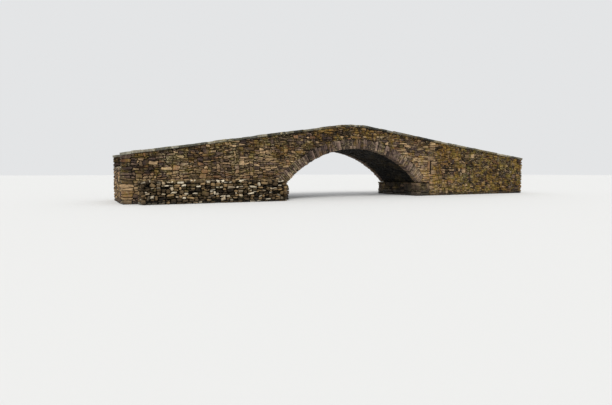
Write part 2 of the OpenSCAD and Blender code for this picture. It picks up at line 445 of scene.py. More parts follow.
class Pile:
    """Collects one piece's stones and joint filling: points, faces, finishes and each stone's own look."""

    def __init__(self):
        self.points = []
        self.faces = []
        self.finishes = []
        self.tones = []
        self.kinds = []

    def add(self, points, faces, index, tone=0.5, kind=0.5):
        base = len(self.points)
        self.points += [(x, y, max(z, 0.0)) for x, y, z in points]
        self.faces += [[base + i for i in face] for face in faces]
        self.finishes += [index] * len(faces)
        self.tones += [tone] * len(points)
        self.kinds += [kind] * len(points)

    def stone(self, rng, place, poly, depth=STONE_DEPTH, joint=0.012, corner=0.036, step=0.14,
              rise=0.014, edge=0.014, flip=False, kind=None, tone=None):
        """Adds one stone that fills a bed. place turns the bed's u and v and a height over it to a point.

        The stone is four rings of its outline, from its back to the rounded edge of its face, and a
        point in its face. It leans a little, and its face is broken by small waves."""
        poly = distinct(poly)
        if len(poly) < 3 or face_area(poly) < LEAST_FACE:
            return
        outline = distinct(stone_outline(rng, poly, joint, corner, step))
        girth = sum(math.dist(outline[i - 1], corner_at) for i, corner_at in enumerate(outline))
        if face_area(outline) < THIN_FACE * girth / 2:
            return
        cu, cv = middle(outline)
        half_u = max(abs(p[0] - cu) for p in outline)
        half_v = max(abs(p[1] - cv) for p in outline)
        swing = rng.gauss(0, 0.3) * joint / max(half_u, half_v)
        outline = [(u - swing * (v - cv), v + swing * (u - cu)) for u, v in outline]
        lean_u = rng.gauss(0, 0.45) * rise / half_u
        lean_v = rng.gauss(0, 0.45) * rise / half_v
        proud = rng.gauss(0, 0.55) * rise
        if rng.random() < SUNK_SHARE:
            proud -= rng.uniform(*SUNK_BACK) * rise
        seed = rng.uniform(0, 100)

        def level(u, v):
            broken = edge * 1.3 * noise.noise((7.0 * u, 13.0 * v, seed))
            return proud + lean_u * (u - cu) + lean_v * (v - cv) + broken

        points = []
        inset = min(0.5 * half_v, 0.5 * half_u, 2.4 * edge)
        for shrink, sunk in ((0.0, None), (0.0, -edge), (0.4 * edge, -0.2 * edge), (inset, 0.3 * edge)):
            fu, fv = 1 - shrink / half_u, 1 - shrink / half_v
            for u, v in outline:
                pu, pv = cu + (u - cu) * fu, cv + (v - cv) * fv
                points.append(place(pu, pv, -depth if sunk is None else level(pu, pv) + sunk))
        peak_u, peak_v = cu + rng.uniform(-0.3, 0.3) * half_u, cv + rng.uniform(-0.25, 0.25) * half_v
        points.append(place(peak_u, peak_v, level(peak_u, peak_v) + rng.uniform(0.2, 0.8) * edge))
        n = len(outline)
        faces = [list(range(n - 1, -1, -1))]
        for ring in range(3):
            for i in range(n):
                j = (i + 1) % n
                faces.append([ring * n + i, ring * n + j, ring * n + n + j, ring * n + n + i])
        faces += [[3 * n + i, 3 * n + (i + 1) % n, 4 * n] for i in range(n)]
        if flip:
            faces = [face[::-1] for face in faces]
        tone = rng.random() if tone is None else tone
        kind = rng.random() if kind is None else kind
        self.add(points, faces, 0, tone, kind)

    def filling(self, node, moves=(), lift=None):
        """Adds a copy of a plain piece, with the faces that stones cover moved in behind them.

        moves holds an axis, a place on it and a distance. lift moves the arch's underside up."""
        plain = bmesh.new()
        plain.from_mesh(frame["nodes"][node].data)
        bmesh.ops.remove_doubles(plain, verts=plain.verts, dist=NEAR)
        plain.verts.index_update()
        points = []
        for vertex in plain.verts:
            co = Vector(vertex.co)
            for axis, at, by in moves:
                if abs(vertex.co[axis] - at) < 10 * NEAR:
                    co[axis] += by
            out = Vector((vertex.co.x - M.mid_x, 0, vertex.co.z - M.arch_z))
            if lift and abs(out.length - M.arch_r) < 20 * NEAR:
                co += out.normalized() * lift
            points.append(tuple(co))
        faces = [[vertex.index for vertex in face.verts] for face in plain.faces]
        plain.free()
        self.add(points, faces, 1)

    def lower(self, by, y=0.0, share=1.0):
        """Lowers the filling, and draws it in across the bridge to that share of its width about y."""
        self.points = [(p[0], y + (p[1] - y) * share, p[2] - by) for p in self.points]

    def piece(self, name, looks):
        """Makes the object of the collected stones. looks names the finishes of stones and filling."""
        mesh = bpy.data.meshes.new(name)
        mesh.from_pydata(self.points, [], self.faces)
        for look in looks:
            mesh.materials.append(finish(look))
        mesh.polygons.foreach_set("material_index", self.finishes)
        mesh.polygons.foreach_set("use_smooth", [index == 0 for index in self.finishes])
        for title, values in (("tone", self.tones), ("kind", self.kinds)):
            mesh.attributes.new(title, "FLOAT", "POINT").data.foreach_set("value", values)
        mesh.set_sharp_from_angle(angle=math.radians(40))
        mesh.update()
        thing = bpy.data.objects.new(name, mesh)
        bpy.context.scene.collection.objects.link(thing)
        return thing


def finish_piece(thing, node):
    """Hands a finished piece to the frame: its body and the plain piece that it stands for."""
    if not thing.data.polygons:
        raise RuntimeError(thing.name + " holds no stones")
    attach(thing, "root")
    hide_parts(node)


# Shader nodes


class Graph:
    """Short calls that build a node tree."""

    def __init__(self, tree):
        self.tree = tree

    def feed(self, socket, value):
        if isinstance(value, bpy.types.NodeSocket):
            self.tree.links.new(value, socket)
        else:
            socket.default_value = value

    def add(self, kind, feeds=(), **settings):
        """Adds a node with its settings, and feeds its inputs by name or number."""
        node = self.tree.nodes.new(kind)
        for key, value in settings.items():
            setattr(node, key, value)
        for key, value in dict(feeds).items():
            self.feed(node.inputs[key], value)
        return node

    def out(self, kind, feeds=(), **settings):
        """The same, for the node's first output."""
        return self.add(kind, feeds, **settings).outputs[0]

    def math(self, operation, *values, clamp=False):
        return self.out("ShaderNodeMath", enumerate(values), operation=operation, use_clamp=clamp)

    def vector(self, operation, a, b):
        return self.out("ShaderNodeVectorMath", {0: a, 1: b}, operation=operation)

    def join(self, x, y, z):
        return self.out("ShaderNodeCombineXYZ", {0: x, 1: y, 2: z})

    def split(self, vector):
        """A vector's three parts."""
        return self.add("ShaderNodeSeparateXYZ", {0: vector}).outputs

    def mix(self, factor, a, b, blend="MIX"):
        """Mixes two colours, each a socket or three numbers. Theirs are inputs 6 and 7 and output 2."""
        a, b = ((*value, 1.0) if isinstance(value, tuple) else value for value in (a, b))
        node = self.add("ShaderNodeMix", {0: factor, 6: a, 7: b}, data_type="RGBA", blend_type=blend)
        return node.outputs[2]

    def noise(self, place, scale, detail, rough, shift, stretch=(1.0, 1.0, 1.0)):
        """Noise over the object's own coordinates, moved by shift so that no two patterns agree."""
        offset = (shift, 0.7 * shift, 1.3 * shift)
        moved = self.out("ShaderNodeMapping", {"Vector": place, "Location": offset, "Scale": stretch})
        return self.out("ShaderNodeTexNoise", {
            "Vector": moved, "Scale": scale, "Detail": detail, "Roughness": rough,
        })

    def step(self, value, low, high, start=0.0, end=1.0):
        """A smooth step from start to end as value goes from low to high."""
        return self.out("ShaderNodeMapRange", enumerate((value, low, high, start, end)),
                        interpolation_type="SMOOTHSTEP")


def new_tree(name, kind, inputs, outputs):
    """A node tree with named inputs, each of a kind and a default or none, and named outputs."""
    tree = bpy.data.node_groups.new(name, kind)
    for title, socket_kind, value in inputs:
        socket = tree.interface.new_socket(title, in_out="INPUT", socket_type="NodeSocket" + socket_kind)
        if value is not None:
            socket.default_value = value
    for title, socket_kind in outputs:
        tree.interface.new_socket(title, in_out="OUTPUT", socket_type="NodeSocket" + socket_kind)
    return tree


WEATHER_INPUTS = (
    ("Tone", "Float", 0.5), ("Kind", "Float", 0.5), ("Dark", "Color", None), ("Light", "Color", None),
    ("Warm", "Color", None), ("Cool", "Color", None), ("Lichen Colour", "Color", None),
    ("Ochre Colour", "Color", None), ("Moss Colour", "Color", None), ("Lichen", "Float", 0.3),
    ("Ochre", "Float", 0.3), ("Moss", "Float", 0.3), ("Damp Height", "Float", 0.3), ("Grain", "Float", 1.0),
)
WEATHER_OUTPUTS = (("Color", "Color"), ("Roughness", "Float"), ("Height", "Float"))
# Colours of moss in shade and of wet stone, as a shader reads them
DARK_MOSS = (0.19, 0.17, 0.03)
WET_STONE = (0.012, 0.0105, 0.008)


def weathered_stone():
    """The shared effect: one stone's colour, mottling, lichens, moss and damp, with its relief."""
    if "Weathered stone" in bpy.data.node_groups:
        return bpy.data.node_groups["Weathered stone"]
    tree = new_tree("Weathered stone", "ShaderNodeTree", WEATHER_INPUTS, WEATHER_OUTPUTS)
    g = Graph(tree)
    given = g.add("NodeGroupInput").outputs
    tone, kind = given["Tone"], given["Kind"]
    place = g.add("ShaderNodeTexCoord").outputs["Object"]
    along, _, height = g.split(place)
    facing_up = g.split(g.add("ShaderNodeNewGeometry").outputs["Normal"])[2]
    # Each stone has its own part of a pattern
    own = g.join(g.math("MULTIPLY", tone, 7.0), g.math("MULTIPLY", kind, 5.0), g.math("ADD", tone, kind))
    shifted = g.vector("ADD", place, own)

    # Patterns, from broad to fine: their scale, detail, roughness and shift
    cloud = g.noise(place, 0.55, 3.0, 0.5, 44.0)
    region = g.noise(place, 0.8, 2.0, 0.5, 31.0)
    patch = g.noise(place, 2.6, 5.0, 0.6, 9.0)
    stain = g.noise(place, 4.5, 5.0, 0.66, 17.0)
    bloom = g.noise(place, 7.5, 8.0, 0.68, 13.0)
    crust = g.math("MAXIMUM", g.noise(shifted, 9.0, 9.0, 0.72, 21.0), g.noise(place, 7.0, 9.0, 0.72, 27.0))
    mottle = g.noise(shifted, 12.0, 6.0, 0.62, 2.0)
    grain = g.noise(shifted, 34.0, 7.0, 0.66, 5.0, (1.0, 1.0, 2.2))
    speck = g.noise(place, 60.0, 4.0, 0.65, 7.0)

    # The stone itself, from dark to light, rust-brown where kind is high and purple-brown where it is low
    shade = g.math("MULTIPLY_ADD", mottle, 0.8, -0.34)
    shade = g.math("MULTIPLY_ADD", g.math("POWER", tone, 2.2), 1.15, shade, clamp=True)
    colour = g.mix(shade, given["Dark"], given["Light"])
    colour = g.mix(g.step(kind, 0.66, 0.98, 0.0, 0.75), colour, given["Warm"])
    colour = g.mix(g.step(kind, 0.34, 0.1, 0.0, 0.75), colour, given["Cool"])
    value = g.step(speck, 0.32, 0.72, 0.72, 1.22)
    for shading in (g.step(cloud, 0.34, 0.66, 0.78, 1.18), g.step(stain, 0.36, 0.64, 0.66, 1.3),
                    g.step(tone, 0.0, 0.7, 0.72, 1.2)):
        value = g.math("MULTIPLY", value, shading)
    tint = g.out("ShaderNodeCombineColor", {0: value, 1: value, 2: value})
    colour = g.mix(1.0, colour, tint, "MULTIPLY")

    # Ochre lichen, which grows less on the left, and pale lichen in crusts
    far_right = g.step(along, M.mid_x + 4.0, M.mid_x + 8.0)
    crop = g.math("MULTIPLY_ADD", patch, 0.7, g.math("MULTIPLY", region, 0.45))
    crop = g.math("MULTIPLY_ADD", far_right, 0.03, g.math("MULTIPLY_ADD", bloom, 0.6, crop))
    ochre = g.math("MULTIPLY", given["Ochre"], g.step(kind, 0.1, 0.5, 0.4, 1.0))
    ochre = g.math("MULTIPLY", g.step(crop, 0.86, 1.0), ochre)
    ochre = g.math("MULTIPLY", ochre, g.step(along, M.mid_x - 4.5, M.mid_x - 1.0, 0.6, 1.2))
    colour = g.mix(ochre, colour, given["Ochre Colour"])
    crusted = g.step(g.math("ADD", crust, g.math("MULTIPLY", cloud, 0.3)), 0.72, 0.8)
    lichen = g.math("MULTIPLY", crusted, given["Lichen"])
    colour = g.mix(lichen, colour, given["Lichen Colour"])

    # Moss, most on what faces up and at the far right
    growth = g.math("ADD", patch, g.math("MULTIPLY_ADD", mottle, 0.3, g.math("MULTIPLY", cloud, 0.4)))
    growth = g.math("MULTIPLY_ADD", far_right, 0.02, growth)
    ledge = g.step(facing_up, -0.25, 0.75, 0.25, 1.0)
    moss = g.math("MULTIPLY", g.step(growth, 0.84, 1.0), g.math("MULTIPLY", given["Moss"], ledge))
    moss = g.math("MULTIPLY", moss, g.math("MULTIPLY_ADD", far_right, 0.4, 1.0), clamp=True)
    colour = g.mix(moss, colour, g.mix(g.step(speck, 0.35, 0.65), given["Moss Colour"], DARK_MOSS))

    # Damp, up to an uneven line
    line = g.math("ADD", height, g.math("MULTIPLY_ADD", patch, -0.5, 0.25))
    damp = g.step(line, given["Damp Height"], g.math("ADD", given["Damp Height"], -0.28))
    colour = g.mix(g.math("MULTIPLY", damp, 0.72), colour, WET_STONE)

    rough = g.math("SUBTRACT", g.step(mottle, 0.3, 0.7, 0.8, 0.96), g.math("MULTIPLY", damp, 0.42))
    relief = g.math("MULTIPLY_ADD", grain, given["Grain"], g.math("MULTIPLY", mottle, 0.8))
    relief = g.math("MULTIPLY_ADD", lichen, 0.12, relief)
    relief = g.math("MULTIPLY_ADD", moss, g.math("MULTIPLY", speck, 0.7), relief)
    g.add("NodeGroupOutput", {"Color": colour, "Roughness": rough, "Height": relief})
    return tree


def stone_finish(name, growths, colours, lichen, ochre, moss, damp=0.3, grain=1.0, laid=True):
    """A stone material from its dark, light, warm and cool colours and its shares of each growth.

    laid says that its piece carries each stone's own tone and kind."""
    material = bpy.data.materials.new(name)
    material.use_nodes = True
    material.node_tree.nodes.clear()
    g = Graph(material.node_tree)
    group = g.add("ShaderNodeGroup", node_tree=weathered_stone())
    values = dict(zip(("Dark", "Light", "Warm", "Cool"), colours))
    values |= {
        "Lichen Colour": growths.lichen, "Ochre Colour": growths.ochre, "Moss Colour": growths.moss,
        "Lichen": lichen, "Ochre": ochre, "Moss": moss, "Damp Height": damp, "Grain": grain,
    }
    for key, value in values.items():
        group.inputs[key].default_value = value if isinstance(value, float) else (*value[:3], 1.0)
    if laid:
        for key in ("Tone", "Kind"):
            read = g.add("ShaderNodeAttribute", attribute_name=key.lower())
            g.feed(group.inputs[key], read.outputs["Fac"])
    bump = g.out("ShaderNodeBump", {"Strength": 0.9, "Distance": 0.007, "Height": group.outputs["Height"]})
    shader = g.out("ShaderNodeBsdfPrincipled", {
        "Specular IOR Level": 0.22, "Base Color": group.outputs["Color"],
        "Roughness": group.outputs["Roughness"], "Normal": bump,
    })
    g.add("ShaderNodeOutputMaterial", {0: shader})
    return material


def finish(key):
    """The material of that key, made when it is first asked for."""
    c = bpy.context.scene.bridge_colours
    moss = c.moss_share
    looks = {
        "wall": ("Rubble wall stone", c.wall_dark, c.wall_light, c.wall_warm, c.wall_cool,
                 {"lichen": 0.5, "ochre": 0.75, "moss": moss}),
        "ring": ("Arch stone", c.ring_dark, c.ring_light, c.ring_light, c.wall_cool,
                 {"lichen": 0.5, "ochre": 0.3, "moss": 0.5 * moss}),
        # Painted shade: the arch's underside takes the nearly black colours painted for the shade under the
        # arch
        "soffit": ("Arch underside stone in painted shade", c.soffit_shade_dark, c.soffit_shade_light, c.soffit_shade_light, c.soffit_shade_dark,
                   {"lichen": 0.05, "ochre": 0.06, "moss": 0.08, "damp": 0.9}),
        "coping": ("Coping stone", c.coping_dark, c.coping_light, c.coping_light, c.coping_dark,
                   {"lichen": 0.65, "ochre": 0.25, "moss": 0.7 * moss}),
        # Plinth blocks: partly damp stone, partly painted shade under the arch
        "plinth": ("Plinth stone, damp and in painted shade", c.plinth_damp_shade_dark, c.plinth_damp_shade_light, c.plinth_damp_shade_light, c.plinth_damp_shade_dark,
                   {"lichen": 0.2, "ochre": 0.15, "moss": 0.3, "damp": 0.42}),
        "river": ("River wall stone", c.river_dark, c.river_light, c.river_cream, c.river_dark,
                  {"lichen": 0.4, "ochre": 0.2, "moss": 0.25, "damp": 0.3}),
        "rubble": ("Packed rubble", c.river_dark, c.wall_light, c.wall_warm, c.wall_cool,
                   {"lichen": 0.25, "ochre": 0.25, "moss": 0.2}),
        "sett": ("Road stone", c.road_dark, c.road_light, c.road_light, c.road_dark,
                 {"lichen": 0.15, "ochre": 0.08, "moss": 0.3, "damp": 0.0}),
        "grit": ("Packed grit", c.road_dark, c.road_light, c.road_light, c.road_dark,
                 {"lichen": 0.0, "ochre": 0.1, "moss": 0.6, "damp": 0.0, "grain": 1.6, "laid": False}),
        # Joint filling: old lime and earth, partly painted shade deep in the joints
        "joint": ("Joint filling and painted shade", c.joint, c.joint, c.joint, c.joint,
                  {"lichen": 0.15, "ochre": 0.2, "moss": 0.5, "grain": 1.5, "laid": False}),
        "gap": ("Dark gap", c.gap, c.gap, c.gap, c.gap,
                {"lichen": 0.0, "ochre": 0.0, "moss": 0.3, "laid": False}),
    }
    name, *colours, values = looks[key]
    return bpy.data.materials.get(name) or stone_finish(name, c, colours, **values)


# Geometry nodes

BED_INPUTS = (
    ("Beds", "Geometry", None), ("Stones", "Collection", None), ("Filling", "Object", None),
    ("Roughness", "Float", 0.02), ("Grain", "Float", 6.0), ("Seed", "Int", 1),
    ("Stone Finish", "Material", None), ("Filling Finish", "Material", None),
)


def bed_tree():
    """A tree that lays one of several stones on each bed, makes each uneven and adds the filling."""
    if "Stones on beds" in bpy.data.node_groups:
        return bpy.data.node_groups["Stones on beds"]
    tree = new_tree("Stones on beds", "GeometryNodeTree", BED_INPUTS, [("Piece", "Geometry")])
    g = Graph(tree)
    given = g.add("NodeGroupInput").outputs

    # A stone on each bed, turned and sized as the bed says
    stones = g.out("GeometryNodeCollectionInfo", {
        "Collection": given["Stones"], "Separate Children": True, "Reset Children": True,
    }, transform_space="ORIGINAL")
    # Inputs 4 and 5, and output 2, are the ones for whole numbers
    pick = g.add("FunctionNodeRandomValue", {4: 0, 5: 1000, "Seed": given["Seed"]}, data_type="INT")
    turn, size = (g.out("GeometryNodeInputNamedAttribute", {"Name": name}, data_type="FLOAT_VECTOR")
                  for name in ("turn", "size"))
    laid = g.out("GeometryNodeInstanceOnPoints", {
        "Points": given["Beds"], "Instance": stones, "Pick Instance": True,
        "Instance Index": pick.outputs[2], "Rotation": turn, "Scale": size,
    })
    real = g.out("GeometryNodeRealizeInstances", {0: laid})

    # Waves that make each stone uneven, and the ground that none goes under
    wave = g.add("ShaderNodeTexNoise", {
        "Vector": g.out("GeometryNodeInputPosition"), "W": given["Seed"], "Scale": given["Grain"],
        "Detail": 3.0,
    }, noise_dimensions="4D").outputs["Color"]
    centred = g.vector("SUBTRACT", wave, (0.5, 0.5, 0.5))
    push = g.out("ShaderNodeVectorMath", {0: centred, "Scale": given["Roughness"]}, operation="SCALE")
    uneven = g.out("GeometryNodeSetPosition", {"Geometry": real, "Offset": push})
    x, y, z = g.split(g.out("GeometryNodeInputPosition"))
    above = g.join(x, y, g.math("MAXIMUM", z, 0.0))
    grounded = g.out("GeometryNodeSetPosition", {"Geometry": uneven, "Position": above})
    dressed = g.out("GeometryNodeSetMaterial", {"Geometry": grounded, "Material": given["Stone Finish"]})

    filling = g.add("GeometryNodeObjectInfo", {0: given["Filling"]}).outputs["Geometry"]
    packed = g.out("GeometryNodeSetMaterial", {"Geometry": filling, "Material": given["Filling Finish"]})
    whole = g.add("GeometryNodeJoinGeometry", {0: packed})
    g.feed(whole.inputs[0], dressed)
    g.add("NodeGroupOutput", {0: whole.outputs[0]})
    return tree


class Beds:
    """Collects the places, turns and sizes of stones that the tree lays."""

    def __init__(self):
        self.rows = []

    def add(self, place, turn, size, tone, kind):
        self.rows.append((tuple(place), tuple(turn), tuple(size), tone, kind))

    def piece(self, name, kind, pile, looks, roughness, grain, seed):
        """Lays stones of that kind and makes the result a plain mesh, with the pile's filling in it."""
        mesh = bpy.data.meshes.new(name)
        mesh.from_pydata([row[0] for row in self.rows], [], [])
        for title, index in (("turn", 1), ("size", 2)):
            flat = [number for row in self.rows for number in row[index]]
            mesh.attributes.new(title, "FLOAT_VECTOR", "POINT").data.foreach_set("vector", flat)
        for title, index in (("tone", 3), ("kind", 4)):
            flat = [row[index] for row in self.rows]
            mesh.attributes.new(title, "FLOAT", "POINT").data.foreach_set("value", flat)
        beds = bpy.data.objects.new(name + ".beds", mesh)
        bpy.context.scene.collection.objects.link(beds)
        filling = pile.piece(name + ".filling", [])
        modifier = beds.modifiers.new("Stones", "NODES")
        modifier.node_group = bed_tree()
        given = {
            "Stones": stone_shapes(kind), "Filling": filling, "Roughness": roughness, "Grain": grain,
            "Seed": seed, "Stone Finish": finish(looks[0]), "Filling Finish": finish(looks[1]),
        }
        for item in modifier.node_group.interface.items_tree:
            if item.name in given and item.in_out == "INPUT":
                modifier[item.identifier] = given[item.name]
        depsgraph = bpy.context.evaluated_depsgraph_get()
        laid = bpy.data.meshes.new_from_object(beds.evaluated_get(depsgraph),
                                               preserve_all_data_layers=True, depsgraph=depsgraph)
        laid.name = name
        thing = bpy.data.objects.new(name, laid)
        bpy.context.scene.collection.objects.link(thing)
        for spare in (beds, filling):
            bpy.data.objects.remove(spare)
        return thing


def stone_shapes(kind):
    """Several shapes of one kind of stone, in a collection of their own that is made on first use."""
    if kind in bpy.data.collections:
        return bpy.data.collections[kind]
    collection = bpy.data.collections.new(kind)
    bpy.context.scene.collection.children.link(collection)
    for i in range(SHAPES):
        shape = bmesh.new()
        KINDS[kind](shape, random.Random(f"{kind} {i}"))
        bmesh.ops.recalc_face_normals(shape, faces=shape.faces)
        # Blender leaves the faces in another order each run
        shape.faces.sort(key=lambda face: face.calc_center_median().dot(FACE_ORDER))
        mesh = bpy.data.meshes.new(f"{kind} {i}")
        shape.to_mesh(mesh)
        shape.free()
        mesh.polygons.foreach_set("use_smooth", [True] * len(mesh.polygons))
        mesh.set_sharp_from_angle(angle=math.radians(60))
        collection.objects.link(bpy.data.objects.new(f"{kind} {i}", mesh))
    return collection


def field_stone(shape, rng):
    """A rough broken block about one unit each way, with blunt arrises."""
    corners = [Vector((x, y, z)) for x in (-0.5, 0.5) for y in (-0.5, 0.5) for z in (-0.5, 0.5)]
    for corner in corners:
        shape.verts.new([value * rng.uniform(0.54, 1.0) for value in corner])
    for _ in range(9):
        way = [rng.uniform(-0.36, 0.36) for _ in range(3)]
        way[rng.randrange(3)] = rng.choice((-0.5, 0.5)) * rng.uniform(0.9, 1.02)
        shape.verts.new(way)
    bmesh.ops.convex_hull(shape, input=shape.verts)
    inside = [vertex for vertex in shape.verts if not vertex.link_faces]
    bmesh.ops.delete(shape, geom=inside, context="VERTS")
    bmesh.ops.dissolve_limit(shape, angle_limit=math.radians(14), verts=shape.verts, edges=shape.edges)
    bmesh.ops.bevel(shape, geom=list(shape.edges), offset=0.055, segments=1, affect="EDGES", profile=0.5,
                    clamp_overlap=True)
    bmesh.ops.remove_doubles(shape, verts=shape.verts, dist=0.02)
    bmesh.ops.triangulate(shape, faces=shape.faces)


def slab_stone(shape, rng):
    """A coping slab with worn arrises, about one unit each way."""
    bmesh.ops.create_cube(shape, size=1.0)
    bmesh.ops.bevel(shape, geom=list(shape.edges), offset=0.035, segments=2, affect="EDGES", profile=0.6)
    flat = [edge for edge in shape.edges if edge.calc_length() > 0.3]
    bmesh.ops.subdivide_edges(shape, edges=flat, cuts=4, use_grid_fill=True)
    for vertex in shape.verts:
        x, y, z = vertex.co
        worn = 0.03 * math.sin(5.0 * x + rng.random() * 0.4) * math.cos(4.0 * y)
        vertex.co = Vector((x * (1 + rng.uniform(-0.012, 0.012)), y * (1 + rng.uniform(-0.014, 0.014)),
                            z + (worn + rng.uniform(-0.03, 0.03)) * (1 if z > 0 else 0.5)))


def sett_stone(shape, rng):
    """A road stone with a worn round top, about one unit each way."""
    bmesh.ops.create_cube(shape, size=1.0)
    bmesh.ops.bevel(shape, geom=list(shape.edges), offset=0.2, segments=1, affect="EDGES", profile=0.5)
    for vertex in shape.verts:
        vertex.co += Vector([rng.uniform(-0.04, 0.04) for _ in range(3)])


SHAPES = 8
# The way along which a shape's faces are numbered
FACE_ORDER = Vector((1.0, 2.3, 5.1))
KINDS = {"Field stone": field_stone, "Coping slab": slab_stone, "Road stone": sett_stone}


# Places on the bridge


def on_face(y, out):
    """The place of u, v and d on an upright face along the bridge. out is the way it faces, -1 or 1."""
    return lambda u, v, d: (M.mid_x + u, y + out * d, v)


def on_ring(y, out):
    """The same on the face of the arch ring: u along its underside and v up from it."""
    def place(u, v, d):
        angle = u / M.arch_r
        radius = M.arch_r + v
        return (M.mid_x + radius * math.sin(angle), y + out * d, M.arch_z + radius * math.cos(angle))
    return place


def on_soffit(u, v, d):
    """On the arch's underside: u across the bridge from its middle and v along the arch from its crown."""
    angle = v / M.arch_r
    radius = M.arch_r - d
    return (M.mid_x + radius * math.sin(angle), M.mid_y + u, M.arch_z + radius * math.cos(angle))


def on_river_face(x, sign):
    """The same on a plinth's face to the river: u across the bridge and v up. sign is -1 on the left."""
    return lambda u, v, d: (x - sign * d, M.mid_y + u, v)


def clear_of_arch(poly):
    """Cuts a wall stone to lie outside the arch, along the line that leaves the most of it."""
    side = 1.0 if middle(poly)[0] > 0 else -1.0
    angles = [math.atan2(u, v - M.arch_z) for u, v in poly]
    angles.append(sum(angles) / len(angles))
    lines = []
    for angle in angles:
        angle = max(-M.spring_angle, min(M.spring_angle, angle))
        away = (-math.sin(angle), -math.cos(angle))
        lines.append((away, away[1] * M.arch_z - M.back_r))
    bed = (-side * math.cos(M.spring_angle), math.sin(M.spring_angle))
    lines.append((bed, bed[1] * M.arch_z))
    kept = [clip(poly, normal, reach) for normal, reach in lines]
    return max((part for part in kept if len(part) > 2), key=face_area, default=[])


def clear_of_bed(poly, bed):
    """Cuts a wall stone to lie beside a bed that is kept free, along the line that leaves most of it."""
    left, foot, right, head = bed
    within = clip(clip(poly, (1.0, 0.0), right), (-1.0, 0.0), -left)
    within = clip(clip(within, (0.0, 1.0), head), (0.0, -1.0), -foot)
    if len(within) < 3:
        return poly
    lines = (((1.0, 0.0), left), ((-1.0, 0.0), -right), ((0.0, 1.0), foot), ((0.0, -1.0), -head))
    kept = [clip(poly, normal, reach) for normal, reach in lines]
    return max((part for part in kept if len(part) > 2), key=face_area, default=[])


def marked_beds(sizes):
    """The beds of the stones that stand out on the front, and the slot that is left open between them.

    A quoin stands beside the slot at the upright joint, two short lintels lie over both, and a thin slab
    lies over the arch's crown."""
    left = M.joint_x - sizes.quoin_width
    foot, head = sizes.slot_foot, sizes.slot_foot + sizes.quoin_height
    over = left + sizes.lintel_length
    half, under = sizes.lintel_height / 2, M.top(0.0) - M.parapet_h
    slot = (M.joint_x, foot, M.joint_x + sizes.slot_width, head)
    stones = [(left, foot, M.joint_x, head), (left, head, over, head + half),
              (left + 0.02, head + half, over - 0.03, head + 2 * half),
              (-0.5, under - 0.09, -0.5 + sizes.slab_length, under)]
    return slot, stones


def trim_to_wall(poly):
    """Cuts a wall stone to the ground, the coping, the arch and the plinth."""
    poly = clip(poly, (0.0, -1.0), 0.0)
    u, v = middle(poly) if poly else (0.0, 0.0)
    slope = M.slope(u)
    poly = clip(poly, (-slope, 1.0), M.top(u) - M.coping_t - slope * u)
    if len(poly) > 2 and abs(u) < M.joint_x:
        poly = clip(clear_of_arch(poly), (0.0, -1.0), -M.spring_z)
    elif v < M.spring_z:
        poly = clip(poly, (-math.copysign(1.0, u), 0.0), -M.joint_x)
    return poly if len(poly) > 2 and face_area(poly) > LEAST_FACE else None


def wall_node(face, u, v):
    """The plain piece that a wall stone belongs to."""
    side = "left" if u < 0 else "right"
    if v > M.top(u) - M.parapet_h:
        return f"{face}_{M.part(u)}_parapet"
    if abs(u) > M.joint_x:
        return f"{face}_{side}_wing_wall"
    return f"{side}_abutment" if v < M.skew_z else f"{face}_{side}_spandrel_wall"


# How much darker stones are at the crest, and how far down and past it to the left and right they are
CREST_STAIN = 0.75
STAIN_DOWN = 1.5
STAIN_PAST = (4.2, 1.0)
# How much darker stones become with each metre to the right, and how far right of the joint that begins
OVERGROWN = 0.6
OVERGROWN_FROM = 0.5


def weathered_and_shaded_tone(rng, u, v):
    """A wall stone's tone, at random, and the darker the higher the power that it is raised to.

    Stones are darker the nearer they lie below the coping: partly damp from rain off the coping, partly
    painted shade of the coping's overhang. Damp darkens them most at the crest. Growth darkens the far
    right."""
    below = M.top(u) - v
    above_arch = M.crest_left - STAIN_PAST[0] < u < M.crest_right + STAIN_PAST[1]
    at_crest = CREST_STAIN if below < STAIN_DOWN and above_arch else 0.0
    overgrown = OVERGROWN * max(0.0, u - M.joint_x - OVERGROWN_FROM)
    # The power falls with the depth below the coping, so the top 1.3 m are darker: partly damp, partly
    # painted shade under the coping's overhang
    return rng.random() ** (max(0.4, 2.1 - 1.3 * below) + at_crest + overgrown)


# Operators


# The photograph's width and height, its focal length in its own pixels and the row of its horizon
PHOTO_SIZE = (612, 405)
PHOTO_FOCUS = 467.0
PHOTO_HORIZON = 172.0
SENSOR = 36.0
# Where it was taken from: along the bridge and across it from mid-span, and up. The heading is in
# degrees, from straight across the bridge towards its right end
CAMERA_PLACE = (-15.466, -25.580, 1.539)
CAMERA_HEADING = 27.08
# Half the floor's width
FLOOR_REACH = 220.0


